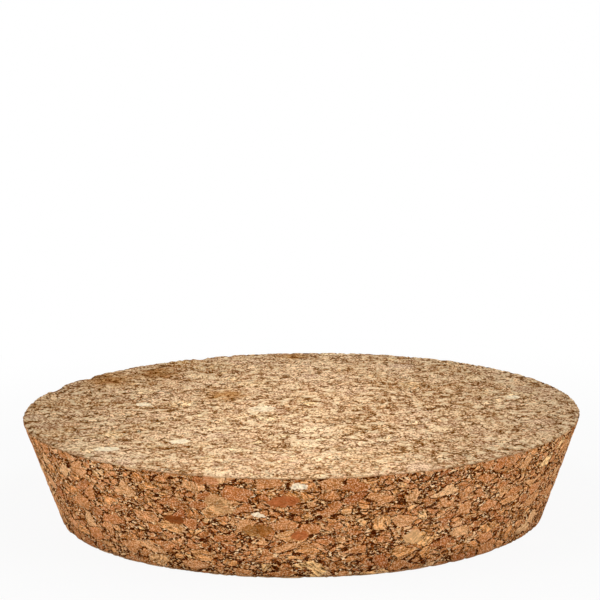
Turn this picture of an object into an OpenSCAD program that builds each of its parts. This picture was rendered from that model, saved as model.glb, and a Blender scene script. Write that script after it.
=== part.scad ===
// Tapered cork stopper for a wide-mouthed jar, ground from one block of pressed cork granules.
// Origin at the centre of the narrow bottom face, +Z along the axis towards the wide top face.
// All sizes are in millimetres.

/* [Stopper] */
// Diameter of the wide top face, taken to its sharp corner
top_d = 108; // [60:1:160]
// Diameter of the narrow bottom face, taken to its sharp corner
bottom_d = 94; // [50:1:150]
// Thickness from the bottom face to the top face
height = 20; // [10:1:50]

/* [Arrises] */
// Radius of the rubbed-down arris round the top face
top_arris_r = 0.4; // [0.1:0.1:2]
// Radius of the rubbed-down arris round the bottom face
bottom_arris_r = 0.5; // [0.1:0.1:2]

/* [Hidden] */
cork_tan = "#b98a58";
// Facets of the preview: the round surfaces themselves are true
$fn = 180;

// Slope of the wall, in degrees from the axis, positive where the stopper widens upwards
wall_slope = atan((top_d - bottom_d) / 2 / height);
// Angle inside the cork at each corner of the half section
top_corner = 90 - wall_slope;
bottom_corner = 90 + wall_slope;

// Distance from a sharp corner to where a rounding of radius r leaves the straight line
function tangent_length(r, corner) = r / tan(corner / 2);

// Point at a distance along the wall from the bottom corner, and back from the top corner
function up_wall(s) = [bottom_d / 2 + s * sin(wall_slope), s * cos(wall_slope)];
function down_wall(s) = [top_d / 2 - s * sin(wall_slope), height - s * cos(wall_slope)];

// Half section of the stopper: straight faces and wall, with a true arc at each arris
module half_section() {
    top_run = tangent_length(top_arris_r, top_corner);
    bottom_run = tangent_length(bottom_arris_r, bottom_corner);
    polygon([
        [0, 0],
        [bottom_d / 2 - bottom_run, 0],
        up_wall(bottom_run),
        down_wall(top_run),
        [top_d / 2 - top_run, height],
        [0, height],
    ]);
    translate([bottom_d / 2 - bottom_run, bottom_arris_r])
        circle(r = bottom_arris_r);
    translate([top_d / 2 - top_run, height - top_arris_r])
        circle(r = top_arris_r);
}

// The whole stopper, one solid turned about its axis
module stopper() {
    color(cork_tan)
        rotate_extrude()
            half_section();
}

stopper();
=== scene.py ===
"""Looks of a tapered cork stopper: a block of pressed granules with gaps, voids and worn arrises.

The stopper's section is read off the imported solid. Its surface is worked out as grids of points, and one
field of granules, built from nodes, shapes those points and colours them, so that the relief and the
colours belong to the same granules. Lengths are in metres, and a name that ends in _mm is in millimetres.
A granule's and a crumb's random numbers, called chance, run from 0 to 1.
"""

from __future__ import annotations

import logging
import math
from dataclasses import dataclass, field
from enum import Enum
from typing import Any, Union

import bpy
import numpy as np
from mathutils import Matrix, Vector

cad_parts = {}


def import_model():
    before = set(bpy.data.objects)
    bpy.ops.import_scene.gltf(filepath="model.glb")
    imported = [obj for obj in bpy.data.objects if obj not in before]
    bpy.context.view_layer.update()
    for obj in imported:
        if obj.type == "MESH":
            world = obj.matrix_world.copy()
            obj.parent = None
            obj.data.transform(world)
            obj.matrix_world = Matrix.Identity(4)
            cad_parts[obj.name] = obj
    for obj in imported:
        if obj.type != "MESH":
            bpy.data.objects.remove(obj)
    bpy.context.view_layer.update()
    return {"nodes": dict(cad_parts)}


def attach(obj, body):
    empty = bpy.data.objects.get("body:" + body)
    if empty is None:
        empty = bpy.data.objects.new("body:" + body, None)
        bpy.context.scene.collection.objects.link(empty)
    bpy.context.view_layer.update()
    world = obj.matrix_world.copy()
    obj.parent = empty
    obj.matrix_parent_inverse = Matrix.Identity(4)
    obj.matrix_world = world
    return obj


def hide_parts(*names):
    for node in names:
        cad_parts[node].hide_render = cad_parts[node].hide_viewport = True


LOG = logging.getLogger("cork_stopper")
MM = 0.001

Triple = tuple[float, float, float]
Colour = Triple
Stops = tuple[tuple[float, Colour], ...]
Span = tuple[float, float]
Pair = tuple[float, float]
Term = Union["Signal", float, tuple]


def from_srgb(red: int, green: int, blue: int) -> Colour:
    """Turns a colour as it is read on a screen into the linear one that a shader takes.

    Args:
        red: Red, from 0 to 255.
        green: Green, from 0 to 255.
        blue: Blue, from 0 to 255.

    Returns:
        The linear colour.
    """
    shares = np.array([red, green, blue]) / 255
    linear = np.where(shares <= 0.04045, shares / 12.92, ((shares + 0.055) / 1.055) ** 2.4)
    return tuple(float(share) for share in linear)


def holds_vector(term: Term) -> bool:
    """Whether a term is a vector or a colour, and not a number."""
    return term.socket.type in {"VECTOR", "RGBA"} if isinstance(term, Signal) else isinstance(term, tuple)


class Signal:
    """A node's socket that takes part in Python arithmetic, where an operation adds its nodes."""

    def __init__(self, net: Net, socket: bpy.types.NodeSocket) -> None:
        """Wraps a socket of a net."""
        self.net = net
        self.socket = socket

    def apply(self, operation: str, other: Term, flipped: bool = False) -> Signal:
        """Adds a Math node, or a Vector Math node where a term is a vector.

        Args:
            operation: The node's operation.
            other: The second term.
            flipped: Whether this term comes second, and the other first.

        Returns:
            The result.
        """
        terms = (other, self) if flipped else (self, other)
        vector = any(holds_vector(term) for term in terms)
        stem = "Vector" if vector else "Value"
        names = (stem, f"{stem}_001")
        kind = "ShaderNodeVectorMath" if vector else "ShaderNodeMath"
        return self.net.node(kind, {"operation": operation}, dict(zip(names, terms)))[stem]

    def __add__(self, other: Term) -> Signal:
        """Adds."""
        return self.apply("ADD", other)

    __radd__ = __add__

    def __sub__(self, other: Term) -> Signal:
        """Subtracts."""
        return self.apply("SUBTRACT", other)

    def __rsub__(self, other: Term) -> Signal:
        """Subtracts this from the other."""
        return self.apply("SUBTRACT", other, flipped=True)

    def __mul__(self, other: Term) -> Signal:
        """Multiplies."""
        return self.apply("MULTIPLY", other)

    __rmul__ = __mul__

    def __truediv__(self, other: Term) -> Signal:
        """Divides."""
        return self.apply("DIVIDE", other)

    def __pow__(self, other: Term) -> Signal:
        """Raises to a power."""
        return self.apply("POWER", other)

    def __lt__(self, other: Term) -> Signal:
        """Gives 1 where this is less, and 0 elsewhere."""
        return self.apply("LESS_THAN", other)

    def lower(self, other: Term) -> Signal:
        """The lower of the two."""
        return self.apply("MINIMUM", other)

    def upper(self, other: Term) -> Signal:
        """The higher of the two."""
        return self.apply("MAXIMUM", other)

    def dot(self, other: Term) -> Signal:
        """The dot product of two vectors."""
        return self.net.node(
            "ShaderNodeVectorMath", {"operation": "DOT_PRODUCT"}, {"Vector": self, "Vector_001": other}
        )["Value"]

    def length(self) -> Signal:
        """The length of a vector."""
        return self.net.node("ShaderNodeVectorMath", {"operation": "LENGTH"}, {"Vector": self})["Value"]

    def part(self, axis: str) -> Signal:
        """One of a vector's parts, X, Y or Z."""
        return self.net.node("ShaderNodeSeparateXYZ", inputs={"Vector": self})[axis]

    def rise(self, low: Term, high: Term) -> Signal:
        """A smooth step from 0 at low to 1 at high."""
        return self.net.node(
            "ShaderNodeMapRange",
            {"interpolation_type": "SMOOTHSTEP"},
            {"Value": self, "From Min": low, "From Max": high},
        )["Result"]

    def fall(self, low: Term, high: Term) -> Signal:
        """A smooth step from 1 at low to 0 at high."""
        return 1.0 - self.rise(low, high)

    def blend(self, other: Term, share: Term) -> Signal:
        """This, with a share of the other in its place."""
        return self.net.blend(self, other, share)


@dataclass(frozen=True)
class Net:
    """A node tree, and the ways to add to it."""

    tree: bpy.types.NodeTree

    def node(
        self, kind: str, settings: dict[str, Any] | None = None, inputs: dict[str, Term] | None = None
    ) -> dict[str, Signal]:
        """Adds a node of any kind.

        Args:
            kind: The node's type.
            settings: The node's own settings, set first. The stops of a ramp are pairs of place and colour.
            inputs: What its sockets hold, by identifier: a number, a tuple or a link.

        Returns:
            The node's outputs, by identifier.
        """
        node = self.tree.nodes.new(kind)
        for name, value in (settings or {}).items():
            if name == "stops":
                self.set_stops(node.color_ramp, value)
            else:
                setattr(node, name, value)
        sockets = {socket.identifier: socket for socket in node.inputs}
        for name, value in (inputs or {}).items():
            self.feed(sockets[name], value)
        return {socket.identifier: Signal(self, socket) for socket in node.outputs}

    def feed(self, socket: bpy.types.NodeSocket, value: Term) -> None:
        """Links a signal to a socket, or sets the socket's own value.

        Args:
            socket: The input to fill.
            value: A signal, a number or a tuple.
        """
        if isinstance(value, Signal):
            self.tree.links.new(value.socket, socket)
        elif socket.type == "RGBA":
            socket.default_value = (*value, 1.0)
        elif socket.type == "VECTOR" and not isinstance(value, tuple):
            socket.default_value = (value, value, value)
        else:
            socket.default_value = value

    @staticmethod
    def set_stops(ramp: bpy.types.ColorRamp, stops: Stops) -> None:
        """Gives a ramp its stops.

        Args:
            ramp: The ramp.
            stops: Pairs of place and colour, from left to right.
        """
        for _ in range(len(stops) - len(ramp.elements)):
            ramp.elements.new(1.0)
        for element, (place, colour) in zip(ramp.elements, stops):
            element.position = place
            element.color = (*colour, 1.0)

    def blend(self, first: Term, second: Term, share: Term) -> Signal:
        """Adds a Mix node between two colours, vectors or numbers.

        Args:
            first: What a share of 0 gives.
            second: What a share of 1 gives.
            share: The share, from 0 to 1.

        Returns:
            The mix.
        """
        vector = holds_vector(first) or holds_vector(second)
        sort = "Color" if vector else "Float"
        return self.node(
            "ShaderNodeMix",
            {"data_type": "RGBA" if vector else "FLOAT"},
            {"Factor_Float": share, f"A_{sort}": first, f"B_{sort}": second},
        )[f"Result_{sort}"]

    def noise(
        self, place: Signal, width: float, detail: float, roughness: float = 0.5
    ) -> dict[str, Signal]:
        """Adds a noise whose lumps are about as wide as stated, in the units of the place.

        Args:
            place: Where it is read.
            width: How wide a lump is.
            detail: How many finer layers it has.
            roughness: How strong each finer layer is.

        Returns:
            Its outputs, Fac and Color.
        """
        return self.node(
            "ShaderNodeTexNoise",
            inputs={"Vector": place, "Scale": 1 / width, "Detail": detail, "Roughness": roughness},
        )


@dataclass(frozen=True)
class Cells:
    """Granules of one size, as signals: how far the edge is, three random numbers and the seed's place."""

    edge_mm: Signal
    chance: Signal
    seed_mm: Signal


@dataclass(frozen=True)
class Grain:
    """What the pressed block holds at a point, as signals.

    The first four tell the place, the distance to the granule's edge, its random numbers and the way from
    its seed. Loose is 1 among the crumbs between granules, and crumb holds a crumb's random numbers. The
    rest are 1 in a crack, in a void, in an open joint of a flat face with its painted shadow, on the painted
    highlight along a closed joint, on a flat face and along an arris.
    """

    place_mm: Signal
    edge_mm: Signal
    chance: Signal
    arm_mm: Signal
    loose: Signal
    crumb: Signal
    crack: Signal
    void: Signal
    joint_and_painted_shadow: Signal
    painted_edge_highlight: Signal
    face: Signal
    near_arris: Signal

    def on(self, wall: Term, face: Term) -> Signal:
        """One value on the wall and another on the flat faces."""
        return self.face.net.blend(wall, face, self.face)


class Tone(Enum):
    """Colours of the granules that stand out."""

    CREAM = from_srgb(242, 220, 184)
    PALE = from_srgb(214, 166, 112)
    OLIVE = from_srgb(134, 88, 40)
    RUSSET = from_srgb(172, 100, 62)
    BARK = from_srgb(122, 66, 34)


@dataclass(frozen=True)
class Spot:
    """An oval on the stopper, with its place, size and turn."""

    FOOT_RADIUS_MM = 47.0
    WALL_SLOPE = 0.35
    TOP_HEIGHT_MM = 20.0
    DEPTH_IN_WALL_MM = 6.0
    DEPTH_IN_TOP_MM = 2.0

    centre_mm: Triple
    size_mm: Triple
    turn_deg: Triple = (0.0, 0.0, 0.0)

    @classmethod
    def on_wall(
        cls, bearing_deg: float, height_mm: float, size_mm: tuple[float, float], lean_deg: float = 0.0
    ) -> Spot:
        """Places an oval on the wall.

        Args:
            bearing_deg: Bearing from the front, positive to the right.
            height_mm: Height above the bottom face.
            size_mm: Width and height.
            lean_deg: How far it leans, positive where its right end is lower.

        Returns:
            The oval.
        """
        bearing = math.radians(bearing_deg)
        radius_mm = cls.FOOT_RADIUS_MM + cls.WALL_SLOPE * height_mm
        centre_mm = (radius_mm * math.sin(bearing), -radius_mm * math.cos(bearing), height_mm)
        width_mm, upright_mm = size_mm
        return cls(centre_mm, (width_mm, cls.DEPTH_IN_WALL_MM, upright_mm), (0.0, lean_deg, bearing_deg))

    @classmethod
    def on_top(cls, right_mm: float, back_mm: float, size_mm: tuple[float, float]) -> Spot:
        """Places an oval, by its width and depth, on the top face to the right of and behind the middle."""
        return cls((right_mm, back_mm, cls.TOP_HEIGHT_MM), (*size_mm, cls.DEPTH_IN_TOP_MM))

    def reach(self, net: Net, place_mm: Signal) -> Signal:
        """How far a place is from the oval's middle, where 1 is its outline.

        Args:
            net: Where the nodes go.
            place_mm: The place.

        Returns:
            The distance, as a share of the oval's half size.
        """
        turned_back = net.node(
            "ShaderNodeVectorRotate",
            {"rotation_type": "EULER_XYZ", "invert": True},
            {
                "Vector": place_mm,
                "Center": self.centre_mm,
                "Rotation": tuple(math.radians(turn) for turn in self.turn_deg),
            },
        )["Vector"]
        half_mm = tuple(size / 2 for size in self.size_mm)
        return ((turned_back - self.centre_mm) / half_mm).length()


@dataclass(frozen=True)
class Fleck:
    """A granule that stands out: an oval, a tone and the share of that tone."""

    tone: Tone
    spot: Spot
    share: float = 0.9


@dataclass(frozen=True)
class PressedCork:
    """Finish of cork granules pressed and glued into a block, then ground to shape.

    A Span tells where a smooth step starts and ends, and a Pair is a value on the wall and one on the flat
    faces. A noise keeps mostly between 0.3 and 0.7, so the spans that read one lie there.
    """

    TONES = (
        (0.00, from_srgb(162, 101, 60)),
        (0.15, from_srgb(174, 114, 68)),
        (0.40, from_srgb(184, 124, 75)),
        (0.65, from_srgb(191, 132, 82)),
        (0.88, from_srgb(202, 148, 96)),
        (1.00, from_srgb(219, 173, 121)),
    )
    TINTS = (
        (0.00, (0.97, 0.85, 0.82)),
        (0.28, (1.00, 0.96, 0.94)),
        (0.65, (1.00, 1.00, 1.00)),
        (1.00, (0.97, 1.01, 0.86)),
    )
    CRUMB_TONES = (
        (0.00, from_srgb(84, 26, 0)),
        (0.22, from_srgb(142, 75, 24)),
        (0.44, from_srgb(188, 126, 68)),
        (0.64, from_srgb(214, 161, 104)),
        (0.84, from_srgb(236, 192, 134)),
        (1.00, from_srgb(250, 218, 170)),
    )

    height: float
    top_radius: float
    bottom_radius: float

    # Granules and crumbs
    flattening: float = 1.8
    coarse_mm: float = 4.0
    coarse_share: float = 0.50
    medium_mm: float = 2.0
    crumb_mm: Pair = (0.45, 0.55)
    sway_run_mm: float = 5.0
    sway_mm: float = 2.6
    ragged_run_mm: float = 0.9
    ragged_mm: float = 0.5
    face_mm: Span = (0.05, 0.45)

    # Gaps between granules, and the joints that show on the flat faces
    gap_run_mm: float = 2.2
    gap_opening: Span = (0.32, 0.64)
    tight_gap_mm: float = 0.08
    gap_growth_mm: float = 0.26
    gap_blur_mm: float = 0.05
    crack_mm: Span = (0.09, 0.16)
    crack_chance: Span = (0.38, 0.46)
    crack_share: Pair = (1.0, 0.3)
    void_chance: Span = (0.11, 0.13)
    void_share: Pair = (1.0, 0.15)
    joint_run_mm: float = 2.2
    joint_open: Span = (0.48, 0.54)
    joint_closed: Span = (0.38, 0.46)
    joint_mm: Span = (0.07, 0.17)
    # Width of the painted highlight along the closed joints of the flat faces
    highlight_edge_mm: Span = (0.20, 0.42)

    # Relief
    flatness: Pair = (1.0, 0.6)
    sinking_mm: float = 0.06
    tilt: float = 0.05
    rounding_mm: float = 0.08
    rounded_mm: Span = (0.0, 0.55)
    crumb_depth_mm: float = 0.08
    void_depth_mm: float = 0.10
    joint_depth_mm: float = 0.06
    arris_mm: Span = (0.3, 1.5)
    crumbling_mm: float = 0.18
    crumbling_chance: Span = (0.55, 1.0)
    crumbling_height_mm: Span = (5.0, 15.0)
    chip_depth_mm: float = 0.5
    chip_reach: Span = (0.4, 1.0)
    skin_mm: float = 0.03

    # Streaks and grit
    hatch_spin: float = 40.0
    hatch_per_mm: Triple = (2.3, 0.5, 0.5)
    hatch_least: float = 0.5
    hatch_more: float = 1.2
    hatch_chance: Span = (0.4, 1.0)
    grit_strength: float = 0.5
    wall_grit_mm: Triple = (0.26, 0.26, 0.26)
    face_grit_mm: Triple = (0.38, 0.68, 0.38)
    fine_layer: float = 0.6
    streak_strength: float = 2.8
    fleck_streak_strength: float = 1.2
    bump_mm: float = 0.2

    # Colours
    # Dark colours of gaps, voids and joints: partly the dark joints themselves and partly painted shade in
    # them
    gap_and_shade_colour: Colour = from_srgb(56, 17, 0)
    groove_and_shadow_colour: Colour = from_srgb(82, 42, 0)
    gap_and_shade_share: Pair = (0.97, 0.85)
    # Dark and cream grit specks: partly the cork's own speckle, and partly painted shade and highlight on
    # its fine relief
    pit_and_shade_colour: Colour = from_srgb(108, 52, 0)
    pit_and_shade_grit: Span = (0.37, 0.47)
    pit_and_shade_share: Pair = (0.42, 0.74)
    cream_colour: Colour = from_srgb(248, 221, 178)
    cream_grit: Span = (0.53, 0.61)
    cream_share: Pair = (0.37, 0.66)
    painted_highlight_share: float = 0.6
    # Dust and painted sheen: the flat faces are paler, partly from sanding dust and partly from a painted
    # grazing sheen
    dust_and_sheen_colour: Colour = from_srgb(216, 205, 176)
    dust_and_sheen_share: Pair = (0.0, 0.33)
    covered_share: Pair = (0.0, 0.58)
    patch_mm: float = 12.0
    patch_strength: Pair = (0.3, 1.5)
    patch_tint: Colour = (0.8, 1.1, 1.5)
    middle_green: Pair = (0.235, 0.335)
    most_light: float = 0.4
    rich_strength: Pair = (1.0, 0.5)
    rich_tint: Colour = (0.0, 0.16, 0.5)
    wall_tint: Colour = (1.02, 0.98, 0.92)
    face_tint: Colour = (1.00, 0.99, 0.95)
    foot_mm: float = 5.0
    foot_shade: float = 0.24
    least_roughness: float = 0.72
    more_roughness: float = 0.2

    # What stands out: single granules, a painted pool of light on the front of the top, brown stains and
    # chips in the rim
    fleck_run_mm: float = 1.2
    fleck_shake_mm: Triple = (1.6, 1.6, 1.6)
    fleck_reach: Span = (0.92, 1.04)
    flecks: tuple[Fleck, ...] = (
        Fleck(Tone.CREAM, Spot.on_wall(-0.5, 18.2, (3.1, 1.4))),
        Fleck(Tone.CREAM, Spot.on_wall(-8.5, 12.7, (2.8, 0.9), 8.0)),
        Fleck(Tone.OLIVE, Spot.on_wall(-9.0, 9.5, (5.9, 2.4), -4.0), 0.65),
        Fleck(Tone.PALE, Spot.on_wall(23.0, 6.9, (3.6, 3.0), -20.0)),
        Fleck(Tone.RUSSET, Spot.on_wall(-3.5, 15.3, (5.8, 2.2), -8.0)),
        Fleck(Tone.BARK, Spot.on_wall(-26.0, 10.4, (3.9, 1.6), 5.0)),
        Fleck(Tone.RUSSET, Spot.on_wall(-0.5, 8.6, (3.1, 2.0), -10.0)),
        Fleck(Tone.PALE, Spot.on_wall(-16.0, 14.3, (5.5, 3.4), 20.0), 0.5),
        Fleck(Tone.RUSSET, Spot.on_wall(-18.0, 18.8, (5.0, 1.8)), 0.6),
        Fleck(Tone.CREAM, Spot.on_top(-35.0, -32.0, (4.3, 3.6)), 0.95),
        Fleck(Tone.CREAM, Spot.on_top(-22.0, -27.0, (3.9, 3.4)), 0.9),
        Fleck(Tone.CREAM, Spot.on_top(42.0, 7.0, (2.7, 3.4)), 0.9),
        Fleck(Tone.CREAM, Spot.on_top(-31.0, 4.0, (3.1, 3.4)), 0.85),
        Fleck(Tone.CREAM, Spot.on_top(-7.5, -1.0, (5.0, 5.5)), 0.6),
    )
    stain_run_mm: float = 2.5
    stain_shake_mm: Triple = (9.0, 9.0, 0.0)
    stain_reach: Span = (0.2, 1.1)
    stain_tint: Colour = (0.66, 0.51, 0.35)
    stains: tuple[Spot, ...] = (
        Spot.on_top(-40.0, 27.0, (14.0, 19.0)),
        Spot.on_top(-30.0, 33.0, (13.0, 14.0)),
        Spot.on_top(-15.0, 12.0, (11.0, 13.0)),
        Spot.on_top(-2.0, 50.0, (10.0, 7.0)),
    )
    # Painted light: an oval pool of light that makes the front of the top paler and its gaps less dark
    worn_and_painted_light: Spot = Spot.on_top(-4.0, -46.0, (84.0, 28.0))
    painted_light_reach: Span = (0.3, 1.1)
    painted_front_light: float = 0.22
    painted_light_on_gaps: float = 0.3
    chips: tuple[Spot, ...] = (
        Spot.on_wall(-111.0, 20.0, (7.0, 1.6)),
        Spot.on_wall(-124.0, 20.0, (4.0, 1.2)),
        Spot.on_wall(-156.0, 20.0, (3.5, 1.2)),
    )

    def cells(self, net: Net, settled_mm: Signal, width_mm: Term) -> Cells:
        """Divides space into the granules of one size, each the room nearest to a random seed.

        Args:
            net: Where the nodes go.
            settled_mm: Place in the block, with the flattening undone.
            width_mm: How wide a granule is.

        Returns:
            The distance to the granule's edge, its random numbers and its seed.
        """
        inputs = {"Vector": settled_mm / width_mm, "Scale": 1.0}
        nearest = net.node("ShaderNodeTexVoronoi", {"feature": "F1"}, inputs)
        border = net.node("ShaderNodeTexVoronoi", {"feature": "DISTANCE_TO_EDGE"}, inputs)
        return Cells(border["Distance"] * width_mm, nearest["Color"], nearest["Position"] * width_mm)

    def grain(self, net: Net, place: Signal) -> Grain:
        """Works out what the block holds at a place.

        Args:
            net: Where the nodes go.
            place: Place on the unworn stopper, in metres.

        Returns:
            The granule's signals, with the crumbs, cracks and voids between granules and the joints that are
            open or closed on the flat faces.
        """
        place_mm = place * (1 / MM)
        height_mm = place_mm.part("Z")
        top_mm = self.height / MM
        bottom = height_mm.fall(*self.face_mm)
        top = (top_mm - height_mm).fall(*self.face_mm)
        face = top.upper(bottom)
        flat_mm = place_mm * (1.0, 1.0, self.flattening)
        sway_mm = (net.noise(flat_mm, self.sway_run_mm, 1.0)["Color"] - 0.5) * self.sway_mm
        ragged_mm = (net.noise(flat_mm, self.ragged_run_mm, 2.0)["Color"] - 0.5) * self.ragged_mm
        settled_mm = flat_mm + sway_mm + ragged_mm
        coarse = self.cells(net, settled_mm, self.coarse_mm)
        medium = self.cells(net, settled_mm, self.medium_mm)
        crumbs = self.cells(net, settled_mm + ragged_mm, net.blend(*self.crumb_mm, face))
        whole = coarse.chance.part("X") < self.coarse_share
        edge_mm = medium.edge_mm.lower(coarse.edge_mm).blend(coarse.edge_mm, whole)
        chance = medium.chance.blend(coarse.chance, whole)
        seed_mm = medium.seed_mm.blend(coarse.seed_mm, whole)
        openness = net.noise(settled_mm, self.gap_run_mm, 2.0)["Fac"].rise(*self.gap_opening)
        gap_mm = self.tight_gap_mm + self.gap_growth_mm * openness
        loose = edge_mm.fall(gap_mm - self.gap_blur_mm, gap_mm + self.gap_blur_mm)
        split = crumbs.edge_mm.fall(*self.crack_mm) * crumbs.chance.part("Y").rise(*self.crack_chance)
        crack = loose * split * net.blend(*self.crack_share, face)
        void = loose * crumbs.chance.part("X").fall(*self.void_chance) * net.blend(*self.void_share, face)
        parted = net.noise(place_mm, self.joint_run_mm, 1.0)["Fac"]
        # Open joints of the flat faces, whose dark colour is partly painted shadow at the granules' steps
        joint_and_painted_shadow = face * edge_mm.fall(*self.joint_mm) * parted.rise(*self.joint_open)
        # Painted highlight: a pale edge along the closed joints of the flat faces, where a granule's edge
        # would catch the light
        painted_edge_highlight = face * edge_mm.fall(*self.highlight_edge_mm) * parted.fall(*self.joint_closed)
        radius_mm = (place_mm * (1.0, 1.0, 0.0)).length()
        top_reach = (radius_mm - self.top_radius / MM) ** 2.0 + (height_mm - top_mm) ** 2.0
        bottom_reach = (radius_mm - self.bottom_radius / MM) ** 2.0 + height_mm**2.0
        near_arris = (top_reach.lower(bottom_reach) ** 0.5).fall(*self.arris_mm)
        return Grain(
            place_mm=place_mm,
            edge_mm=edge_mm,
            chance=chance,
            arm_mm=settled_mm - seed_mm,
            loose=loose,
            crumb=crumbs.chance,
            crack=crack,
            void=void,
            joint_and_painted_shadow=joint_and_painted_shadow,
            painted_edge_highlight=painted_edge_highlight,
            face=face,
            near_arris=near_arris,
        )

    def relief_mm(self, net: Net, grain: Grain) -> Signal:
        """How far the surface lies below the unworn stopper, as a negative height in millimetres.

        It is the sum of each granule's own sinking and tilt, the rounding of its edges, the loose crumbs and
        voids between granules, the open joints, and the crumbs and chips lost along the top arris.

        Args:
            net: Where the nodes go.
            grain: What the block holds there.

        Returns:
            The height.
        """
        sinking = -self.sinking_mm * grain.chance.part("Y")
        tilt = (grain.chance - 0.5).dot(grain.arm_mm) * self.tilt
        rounding = -self.rounding_mm * grain.edge_mm.fall(*self.rounded_mm)
        between = -self.crumb_depth_mm * grain.loose * grain.crumb.part("Y")
        hollow = between - self.void_depth_mm * grain.void - self.joint_depth_mm * grain.joint_and_painted_shadow
        upper = grain.place_mm.part("Z").rise(*self.crumbling_height_mm)
        crumbling = grain.crumb.part("Z").rise(*self.crumbling_chance) * grain.near_arris * upper
        lost = -self.crumbling_mm * crumbling
        for chip in self.chips:
            lost = lost - self.chip_depth_mm * chip.reach(net, grain.place_mm).fall(*self.chip_reach)
        granule = (sinking + tilt + rounding) * grain.on(*self.flatness)
        return (granule + hollow + lost - self.skin_mm).lower(0.0)

    def material(self) -> bpy.types.Material:
        """Makes the material.

        Returns:
            The material, which reads the place on the unworn stopper from the mesh.
        """
        material = bpy.data.materials.new("pressed_cork")
        material.use_nodes = True
        material.node_tree.nodes.clear()
        net = Net(material.node_tree)
        place = net.node("ShaderNodeAttribute", {"attribute_name": Stopper.PLACE})["Vector"]
        grain = self.grain(net, place)
        colour, roughness, bump_mm = self.dress(net, grain)
        bump = net.node("ShaderNodeBump", inputs={"Strength": 1.0, "Distance": MM, "Height": bump_mm})
        surface = net.node(
            "ShaderNodeBsdfPrincipled",
            inputs={
                "Base Color": colour,
                "Roughness": roughness,
                "Normal": bump["Normal"],
                "Specular IOR Level": 0.0,
            },
        )["BSDF"]
        net.node("ShaderNodeOutputMaterial", inputs={"Surface": surface})
        return material

    @staticmethod
    def ramp(net: Net, stops: Stops, chance: Signal) -> Signal:
        """The colour that a ramp gives for a random number."""
        return net.node("ShaderNodeValToRGB", {"stops": stops}, {"Fac": chance})["Color"]

    def dress(self, net: Net, grain: Grain) -> tuple[Signal, Signal, Signal]:
        """Works out the colour, roughness and fine relief of the granules.

        A granule's tone and tint come from its random numbers. A hatch that runs its own way and a fine grit
        streak it, and crumbs, pits and cream specks that are partly painted shade and highlight, stains,
        single granules, a painted pool of light on the front of the top and dark gaps with painted shade go
        over it. In the end darks become richer, lights creamier and the foot of the wall darker with painted
        shade.

        Args:
            net: Where the nodes go.
            grain: What the block holds there.

        Returns:
            The colour, the roughness and the fine relief in millimetres.
        """
        grit_mm = grain.on(self.wall_grit_mm, self.face_grit_mm)
        grit = net.noise(grain.place_mm / grit_mm, 1.0, 2.0, self.fine_layer)["Fac"]
        texture = self.hatch(net, grain) + (grit - 0.5) * self.grit_strength
        wavy_mm = self.shaken(net, grain.place_mm, self.stain_run_mm, 3.0, self.stain_shake_mm)
        # Painted light: the mask of the pool of light on the front of the top
        worn_and_painted_light = self.worn_and_painted_light.reach(net, wavy_mm).fall(*self.painted_light_reach) * grain.face
        body = self.granule_colour(net, grain, texture)
        lumps = net.noise(grain.place_mm, self.patch_mm, 3.0)["Fac"] - 0.5
        patches = lumps * grain.on(*self.patch_strength)
        # The painted pool of light lightens the front of the top here, and further down it makes the gaps
        # there less dark
        body = body * (1.0 + patches * self.patch_tint + self.painted_front_light * worn_and_painted_light)
        # Painted shade and highlight: the dark and cream specks from the fine grit stand in partly for light
        # and shade on the fine relief
        body = body.blend(self.pit_and_shade_colour, grit.fall(*self.pit_and_shade_grit) * grain.on(*self.pit_and_shade_share))
        body = body.blend(self.cream_colour, grit.rise(*self.cream_grit) * grain.on(*self.cream_share))
        # Painted highlight along the closed joints of the flat faces
        body = body.blend(self.cream_colour, grain.painted_edge_highlight * self.painted_highlight_share)
        for stain in self.stains:
            body = body.blend(body * self.stain_tint, stain.reach(net, wavy_mm).fall(*self.stain_reach))
        # Dark gaps, voids and open joints: dark joints with painted shade in the recesses, and painted
        # shadow at the granules' steps on the flat faces
        opening = grain.crack.upper(grain.void).upper(grain.joint_and_painted_shadow)
        darkness = opening * (grain.on(*self.gap_and_shade_share) - self.painted_light_on_gaps * worn_and_painted_light)
        ragged_mm = self.shaken(net, grain.place_mm, self.fleck_run_mm, 2.0, self.fleck_shake_mm)
        for fleck in self.flecks:
            mask = fleck.spot.reach(net, ragged_mm).fall(*self.fleck_reach) * fleck.share
            body = body.blend((1.0 + texture * self.fleck_streak_strength) * fleck.tone.value, mask)
            darkness = darkness * (1.0 - mask)
        colour = body.blend(grain.on(self.gap_and_shade_colour, self.groove_and_shadow_colour), darkness)
        roughness = self.least_roughness + self.more_roughness * grit
        return self.graded(grain, colour), roughness, texture * self.bump_mm

    def hatch(self, net: Net, grain: Grain) -> Signal:
        """A granule's own streaks, which run another way in each granule and are stronger in some.

        Args:
            net: Where the nodes go.
            grain: What the block holds there.

        Returns:
            How much lighter a streak is, below 0 where it is darker.
        """
        spin = grain.chance.part("X") * self.hatch_spin
        turned = net.node(
            "ShaderNodeVectorRotate",
            {"rotation_type": "AXIS_ANGLE"},
            {"Vector": grain.arm_mm, "Axis": grain.chance - 0.5, "Angle": spin},
        )["Vector"]
        streaks = net.noise(turned * self.hatch_per_mm, 1.0, 1.0, self.fine_layer)["Fac"] - 0.5
        strength = self.hatch_least + self.hatch_more * grain.chance.part("Y").rise(*self.hatch_chance)
        return streaks * strength

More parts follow.
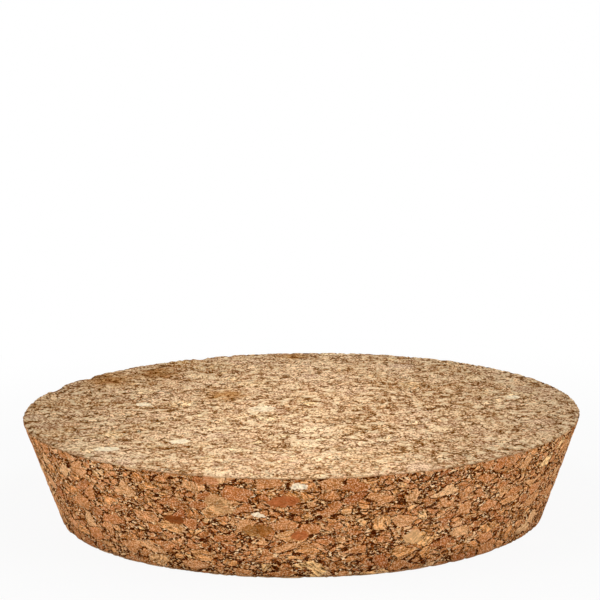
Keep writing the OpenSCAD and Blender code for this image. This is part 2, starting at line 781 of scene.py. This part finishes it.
    def granule_colour(self, net: Net, grain: Grain, texture: Signal) -> Signal:
        """The colour of the granules, with dust and a painted pale sheen on the flat faces, and the crumbs
        between them.

        Args:
            net: Where the nodes go.
            grain: What the block holds there.
            texture: How much lighter the surface is for its streaks and grit.

        Returns:
            The colour.
        """
        tone = self.ramp(net, self.TONES, grain.chance.part("Z"))
        tint = self.ramp(net, self.TINTS, grain.chance.part("Y"))
        crumb_tone = self.ramp(net, self.CRUMB_TONES, grain.crumb.part("Z"))
        # Dust and a painted sheen make the flat faces paler
        granule = (tone * tint).blend(self.dust_and_sheen_colour, grain.on(*self.dust_and_sheen_share))
        inside = (1.0 - grain.loose).upper(grain.on(*self.covered_share))
        return crumb_tone.blend(granule * (1.0 + texture * self.streak_strength), inside)

    def graded(self, grain: Grain, colour: Signal) -> Signal:
        """Makes darks richer and lights creamier, and darkens the foot of the wall with painted shade.

        Args:
            grain: What the block holds there.
            colour: The colour before.

        Returns:
            The colour after.
        """
        lightness = (colour.part("Y") / grain.on(*self.middle_green) - 1.0).lower(self.most_light)
        richness = lightness * grain.on(*self.rich_strength)
        # Painted shade: the wall is darker towards the bottom face
        foot = grain.place_mm.part("Z").fall(0.0, self.foot_mm) * (1.0 - grain.face)
        rich = colour * (richness * self.rich_tint + grain.on(self.wall_tint, self.face_tint))
        return rich * (1.0 - self.foot_shade * foot)

    @staticmethod
    def shaken(net: Net, place_mm: Signal, run_mm: float, detail: float, shake_mm: Triple) -> Signal:
        """A place moved by a noise, so that an oval that reads it gets an uneven outline."""
        return place_mm + (net.noise(place_mm, run_mm, detail)["Color"] - 0.5) * shake_mm


class Face(Enum):
    """The two flat faces of the stopper."""

    BOTTOM = "bottom"
    TOP = "top"


@dataclass(frozen=True)
class Section:
    """Half section of the stopper's wall and arrises, from the bottom face's edge to the top face's."""

    OUTER_SHARE = 0.8
    LONG_STEP = 1 * MM

    radius: np.ndarray
    height: np.ndarray

    @classmethod
    def of_solid(cls, solid: bpy.types.Object) -> Section:
        """Reads the section off a turned solid: the radius and height of each ring of its points.

        Points nearer the axis than a share of the widest radius belong to the flat faces and are left out.
        The rest are put in order by their direction, as seen from the axis at half height.

        Args:
            solid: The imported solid, turned about Z.

        Returns:
            The section, from low to high.
        """
        places = np.empty(3 * len(solid.data.vertices), np.float32)
        solid.data.vertices.foreach_get("co", places)
        places = places.reshape(-1, 3).astype(float)
        rings = np.stack([np.hypot(places[:, 0], places[:, 1]), places[:, 2]], axis=1)
        rings = np.unique(rings.round(6), axis=0)
        outer = rings[rings[:, 0] > cls.OUTER_SHARE * rings[:, 0].max()]
        middle = outer[:, 1].max() / 2
        order = np.argsort(np.arctan2(outer[:, 1] - middle, outer[:, 0]))
        return cls(outer[order, 0], outer[order, 1])

    def run(self) -> np.ndarray:
        """Distance along the section to each of its points."""
        steps = np.hypot(np.diff(self.radius), np.diff(self.height))
        return np.concatenate([[0.0], np.cumsum(steps)])

    def resampled(self, wall_rings: int, arris_rings: int) -> Section:
        """Spaces points evenly along each arris and along the wall between them.

        The wall is where the section goes in long steps, because it is straight.

        Args:
            wall_rings: Steps along the wall.
            arris_rings: Steps along each arris.

        Returns:
            The new section.
        """
        run = self.run()
        straight = np.flatnonzero(np.diff(run) > self.LONG_STEP)
        wall_start = run[straight[0]]
        wall_end = run[straight[-1] + 1]
        stops = np.concatenate(
            [
                np.linspace(0.0, wall_start, arris_rings, endpoint=False),
                np.linspace(wall_start, wall_end, wall_rings, endpoint=False),
                np.linspace(wall_end, run[-1], arris_rings + 1),
            ]
        )
        return Section(np.interp(stops, run, self.radius), np.interp(stops, run, self.height))

    def normals(self) -> np.ndarray:
        """Outward direction at each point, as a part along the radius and a part along Z."""
        run = self.run()
        outward = np.stack([np.gradient(self.height, run), -np.gradient(self.radius, run)], axis=1)
        return outward / np.linalg.norm(outward, axis=1, keepdims=True)


@dataclass
class Stopper:
    """The stopper: two flat faces and a tapered wall with rubbed arrises, in one closed surface."""

    PLACE = "unworn_place"
    RELIEF = "relief"
    BAKE_MAP = "OFBake"

    solid: bpy.types.Object
    disc_cells: int = 171
    wall_rings: int = 54
    arris_rings: int = 3
    wall_strips: int = 3
    section: Section = field(init=False)
    finish: PressedCork = field(init=False)

    def __post_init__(self) -> None:
        """Reads the section off the solid and sets up the finish."""
        self.section = Section.of_solid(self.solid).resampled(self.wall_rings, self.arris_rings)
        self.finish = PressedCork(
            float(self.section.height[-1]), float(self.section.radius.max()), float(self.section.radius[0])
        )

    def disc(self, face: Face) -> np.ndarray:
        """Points of a flat face, on a square grid bent into a disc.

        A grid point at (a, b) goes to the radius of the larger of the two, and its bearing is an eighth of a
        turn times their ratio, so that the grid's border lands on the rim in even steps.

        Args:
            face: Which face.

        Returns:
            The points, as a grid of disc_cells + 1 each way.
        """
        end = 0 if face is Face.BOTTOM else -1
        across = np.linspace(-1.0, 1.0, self.disc_cells + 1)
        a, b = np.meshgrid(across, across, indexing="ij")
        wide = np.abs(a) >= np.abs(b)
        reach = np.where(wide, a, b)
        other = np.where(wide, b, a)
        turn = math.pi / 4 * np.divide(other, reach, out=np.zeros_like(other), where=reach != 0)
        bearing = np.where(wide, turn, math.pi / 2 - turn)
        radius = reach * self.section.radius[end]
        height = np.full_like(radius, self.section.height[end])
        return np.stack([radius * np.cos(bearing), radius * np.sin(bearing), height], axis=-1)

    def rim(self, grid: np.ndarray) -> np.ndarray:
        """The border of a grid, anticlockwise from its corner at (1, -1), with each corner once."""
        return np.concatenate([grid[-1, :-1], grid[:0:-1, -1], grid[0, :0:-1], grid[:-1, 0]])

    def surface(self) -> tuple[np.ndarray, np.ndarray, np.ndarray, np.ndarray]:
        """Works out the closed surface: the two discs, and the section carried round between their rims.

        Returns:
            The points, the outward normals, the quads and the map of each quad's corners.
        """
        bottom = self.disc(Face.BOTTOM)
        top = self.disc(Face.TOP)
        rim = self.rim(bottom)
        bearing = np.arctan2(rim[:, 1], rim[:, 0])
        round_x = np.cos(bearing)
        round_y = np.sin(bearing)
        radius = self.section.radius[1:-1, None]
        height = np.broadcast_to(self.section.height[1:-1, None], (len(radius), len(bearing)))
        wall = np.stack([radius * round_x, radius * round_y, height], axis=-1)
        slope = self.section.normals()
        outward = slope[1:-1, 0, None]
        upward = np.broadcast_to(slope[1:-1, 1, None], height.shape)
        wall_normals = np.stack([outward * round_x, outward * round_y, upward], axis=-1)
        disc_count = bottom.shape[0] * bottom.shape[1]
        points = np.concatenate([bottom.reshape(-1, 3), top.reshape(-1, 3), wall.reshape(-1, 3)])
        normals = np.concatenate(
            [
                np.broadcast_to([0.0, 0.0, -1.0], (disc_count, 3)),
                np.broadcast_to([0.0, 0.0, 1.0], (disc_count, 3)),
                wall_normals.reshape(-1, 3),
            ]
        )
        bottom_ids = np.arange(disc_count).reshape(bottom.shape[:2])
        top_ids = bottom_ids + disc_count
        wall_ids = 2 * disc_count + np.arange(height.size).reshape(height.shape)
        rows = np.concatenate([self.rim(bottom_ids)[None], wall_ids, self.rim(top_ids)[None]])
        after = np.roll(rows, -1, axis=1)
        wall_quads = np.stack([rows[:-1], after[:-1], after[1:], rows[1:]], axis=-1)
        top_quads = self.quads(top_ids)
        bottom_quads = self.quads(bottom_ids)[..., ::-1]
        quads = np.concatenate([part.reshape(-1, 4) for part in (bottom_quads, top_quads, wall_quads)])
        chart = self.chart(points, bottom_quads, top_quads, wall_quads.shape[:2])
        return points, normals, quads, chart

    @staticmethod
    def quads(ids: np.ndarray) -> np.ndarray:
        """The quads of a grid of point numbers, anticlockwise seen from above."""
        return np.stack([ids[:-1, :-1], ids[1:, :-1], ids[1:, 1:], ids[:-1, 1:]], axis=-1)

    def chart(
        self,
        points: np.ndarray,
        bottom_quads: np.ndarray,
        top_quads: np.ndarray,
        wall_shape: tuple[int, int],
    ) -> np.ndarray:
        """Lays the surface out flat in the unit square for a bake.

        The top face lies in one corner, the bottom face above it, a little smaller, and the wall is cut into
        upright strips beside them.

        Args:
            points: All points.
            bottom_quads: The bottom face's quads.
            top_quads: The top face's quads.
            wall_shape: Quads up the wall and round it.

        Returns:
            The map of each quad's four corners.
        """
        margin = 1 * MM
        top_radius = self.section.radius[-1]
        bottom_radius = self.section.radius[0]
        run = self.section.run()
        strip = run[-1] + margin
        side = 2 * top_radius + self.wall_strips * strip + 3 * margin
        shrink = (side - 2 * top_radius - 4 * margin) / (2 * bottom_radius)
        top_centre = np.array([top_radius + margin, top_radius + margin])
        bottom_centre = np.array([top_radius + margin, side - margin - shrink * bottom_radius])
        top_chart = points[top_quads][..., :2] + top_centre
        bottom_chart = points[bottom_quads][..., :2] * [-shrink, shrink] + bottom_centre
        columns = wall_shape[1]
        per_strip = columns // self.wall_strips
        number, along = np.divmod(np.arange(columns), per_strip)
        step = 2 * math.pi * top_radius / columns
        left = 2 * top_radius + 2.5 * margin + number * strip
        low = margin + along * step
        u_low = left[None, :] + run[:-1, None]
        u_high = left[None, :] + run[1:, None]
        v_low = np.broadcast_to(low, u_low.shape)
        v_high = v_low + step
        wall_chart = np.stack(
            [
                np.stack([u_low, v_low], axis=-1),
                np.stack([u_low, v_high], axis=-1),
                np.stack([u_high, v_high], axis=-1),
                np.stack([u_high, v_low], axis=-1),
            ],
            axis=-2,
        )
        charts = [part.reshape(-1, 4, 2) for part in (bottom_chart, top_chart, wall_chart)]
        return np.concatenate(charts) / side

    def read_relief(self, piece: bpy.types.Object) -> np.ndarray:
        """Reads the granules' relief at the piece's points, through a modifier that is then taken off.

        Args:
            piece: The unworn stopper.

        Returns:
            The height of each point, in metres.
        """
        group = bpy.data.node_groups.new(self.RELIEF, "GeometryNodeTree")
        for way in ("INPUT", "OUTPUT"):
            group.interface.new_socket("Geometry", in_out=way, socket_type="NodeSocketGeometry")
        net = Net(group)
        shape = next(iter(net.node("NodeGroupInput").values()))
        place = net.node("GeometryNodeInputPosition")["Position"]
        relief = self.finish.relief_mm(net, self.finish.grain(net, place)) * MM
        stored = net.node(
            "GeometryNodeStoreNamedAttribute",
            {"data_type": "FLOAT", "domain": "POINT"},
            {"Geometry": shape, "Name": self.RELIEF, "Value": relief},
        )["Geometry"]
        leave = group.nodes.new("NodeGroupOutput")
        net.feed(leave.inputs[0], stored)
        modifier = piece.modifiers.new(self.RELIEF, "NODES")
        modifier.node_group = group
        evaluated = piece.evaluated_get(bpy.context.evaluated_depsgraph_get())
        values = np.empty(len(evaluated.data.vertices), np.float32)
        evaluated.data.attributes[self.RELIEF].data.foreach_get("value", values)
        piece.modifiers.remove(modifier)
        bpy.data.node_groups.remove(group)
        return values.astype(float)

    def build(self) -> bpy.types.Object:
        """Builds the stopper's mesh, wears it and dresses it.

        Returns:
            The piece.
        """
        points, normals, quads, chart = self.surface()
        mesh = bpy.data.meshes.new("cork_body")
        mesh.from_pydata(points, [], quads)
        mesh.polygons.foreach_set("use_smooth", np.ones(len(quads), bool))
        layer = mesh.uv_layers.new(name=self.BAKE_MAP)
        layer.uv.foreach_set("vector", chart.astype(np.float32).ravel())
        places = mesh.attributes.new(self.PLACE, "FLOAT_VECTOR", "POINT")
        places.data.foreach_set("vector", points.astype(np.float32).ravel())
        piece = bpy.data.objects.new("cork_body", mesh)
        bpy.context.scene.collection.objects.link(piece)
        worn_and_painted_light = points + normals * self.read_relief(piece)[:, None]
        mesh.vertices.foreach_set("co", worn_and_painted_light.astype(np.float32).ravel())
        mesh.update()
        mesh.materials.append(self.finish.material())
        return piece


@dataclass(frozen=True)
class Camera:
    """The camera, at the photograph's distance, height and framing."""

    distance: float = 0.4038
    target_height: float = 0.010
    elevation_deg: float = 14.2405
    look_down_deg: float = 9.8936
    roll_deg: float = -0.645
    focal_pixels: float = 2057.84
    image_pixels: float = 600.0
    sensor_mm: float = 36.0
    nearest: float = 0.01

    def build(self) -> bpy.types.Object:
        """Makes the camera and gives it to the scene.

        Returns:
            The camera.
        """
        lens = bpy.data.cameras.new("camera")
        lens.sensor_width = self.sensor_mm
        lens.lens = self.focal_pixels / self.image_pixels * self.sensor_mm
        lens.clip_start = self.nearest
        camera = bpy.data.objects.new("camera", lens)
        elevation = math.radians(self.elevation_deg)
        place = Vector((0, -math.cos(elevation), math.sin(elevation))) * self.distance
        place.z += self.target_height
        tilt = Matrix.Rotation(math.radians(90 - self.look_down_deg), 4, "X")
        roll = Matrix.Rotation(math.radians(self.roll_deg), 4, "Z")
        camera.matrix_world = Matrix.Translation(place) @ tilt @ roll
        bpy.context.scene.collection.objects.link(camera)
        bpy.context.scene.camera = camera
        return camera


@dataclass(frozen=True)
class Softbox:
    """A rectangular studio light that points at a place."""

    SIDE_DISTANCE = 0.75
    SIDE_HEIGHT = 0.10
    SIDE_AIM = (0.0, 0.0, 0.01)
    SIDE_SIZE = (1.0, 0.18)
    SIDE_WATTS = 3.6

    name: str
    place: Triple
    aim: Triple
    size: tuple[float, float]
    watts: float

    @classmethod
    def beside(cls, name: str, right: int, back: int) -> Softbox:
        """A long low light on one side of the stopper, where right and back are 1, 0 or -1."""
        place = (right * cls.SIDE_DISTANCE, back * cls.SIDE_DISTANCE, cls.SIDE_HEIGHT)
        return cls(name, place, cls.SIDE_AIM, cls.SIDE_SIZE, cls.SIDE_WATTS)

    def build(self) -> bpy.types.Object:
        """Makes the light.

        Returns:
            The light, which the camera doesn't see.
        """
        lamp = bpy.data.lights.new(self.name, "AREA")
        lamp.shape = "RECTANGLE"
        lamp.size, lamp.size_y = self.size
        lamp.energy = self.watts
        light = bpy.data.objects.new(self.name, lamp)
        light.location = self.place
        direction = Vector(self.aim) - Vector(self.place)
        light.rotation_euler = direction.to_track_quat("-Z", "Y").to_euler()
        light.visible_camera = False
        bpy.context.scene.collection.objects.link(light)
        return light


@dataclass(frozen=True)
class Studio:
    """Plain pale floor, white surroundings and soft lights."""

    WHITE = (1.0, 1.0, 1.0)

    floor_reach: float = 3.0
    floor_colour: Colour = (0.82, 0.82, 0.82)
    white_share: float = 0.93
    white_from: float = 0.07
    white_all: float = 0.17
    ambient: float = 0.15
    lights: tuple[Softbox, ...] = (
        Softbox("overhead", (0.0, -0.012, 0.088), (0.0, -0.010, 0.02), (0.045, 0.14), 0.072),
        Softbox.beside("front", 0, -1),
        Softbox.beside("left", -1, 0),
        Softbox.beside("right", 1, 0),
        Softbox.beside("back", 0, 1),
    )

    def seen(self, net: Net) -> Signal:
        """Adds what tells a ray that sees or mirrors the surroundings: 1 on such a ray, 0 on the rest."""
        path = net.node("ShaderNodeLightPath")
        return path["Is Camera Ray"].upper(path["Is Glossy Ray"]).upper(path["Is Transmission Ray"])

    def build(self) -> None:
        """Makes the world, the floor and the lights."""
        self.build_world()
        self.build_floor()
        for light in self.lights:
            light.build()

    def build_world(self) -> None:
        """Makes the surroundings: white where they are seen, and a plain dimmer light elsewhere."""
        world = bpy.data.worlds.new("surroundings")
        world.use_nodes = True
        world.node_tree.nodes.clear()
        net = Net(world.node_tree)
        strength = net.blend(self.ambient, 1.0, self.seen(net))
        light = net.node("ShaderNodeBackground", inputs={"Color": self.WHITE, "Strength": strength})
        net.node("ShaderNodeOutputWorld", inputs={"Surface": light["Background"]})
        bpy.context.scene.world = world

    def build_floor(self) -> None:
        """Makes the floor, which is white where it is seen and keeps a soft shadow."""
        reach = self.floor_reach
        mesh = bpy.data.meshes.new("floor")
        corners = [(-reach, -reach, 0.0), (reach, -reach, 0.0), (reach, reach, 0.0), (-reach, reach, 0.0)]
        mesh.from_pydata(corners, [], [(0, 1, 2, 3)])
        floor = bpy.data.objects.new("floor", mesh)
        material = bpy.data.materials.new("floor_white")
        material.use_nodes = True
        material.node_tree.nodes.clear()
        net = Net(material.node_tree)
        matt = net.node("ShaderNodeBsdfDiffuse", inputs={"Color": self.floor_colour})["BSDF"]
        white = net.node("ShaderNodeEmission", inputs={"Color": self.WHITE, "Strength": 1.0})["Emission"]
        away = net.node("ShaderNodeTexCoord")["Object"].length().rise(self.white_from, self.white_all)
        share = self.seen(net) * net.blend(self.white_share, 1.0, away)
        surface = net.node("ShaderNodeMixShader", inputs={"Fac": share, "Shader": matt, "Shader_001": white})
        net.node("ShaderNodeOutputMaterial", inputs={"Surface": surface["Shader"]})
        mesh.materials.append(material)
        bpy.context.scene.collection.objects.link(floor)


def main() -> None:
    """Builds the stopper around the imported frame, and the studio that shows it."""
    logging.basicConfig(level=logging.INFO, format="%(name)s: %(message)s")
    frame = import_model()
    bpy.context.scene.view_settings.view_transform = "Standard"
    Camera().build()
    Studio().build()
    stopper = Stopper(frame["nodes"]["stopper"])
    piece = stopper.build()
    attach(piece, "root")
    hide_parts("stopper")
    LOG.info("%s: %d points, %d quads", piece.name, len(piece.data.vertices), len(piece.data.polygons))


if __name__ == "__main__":
    main()
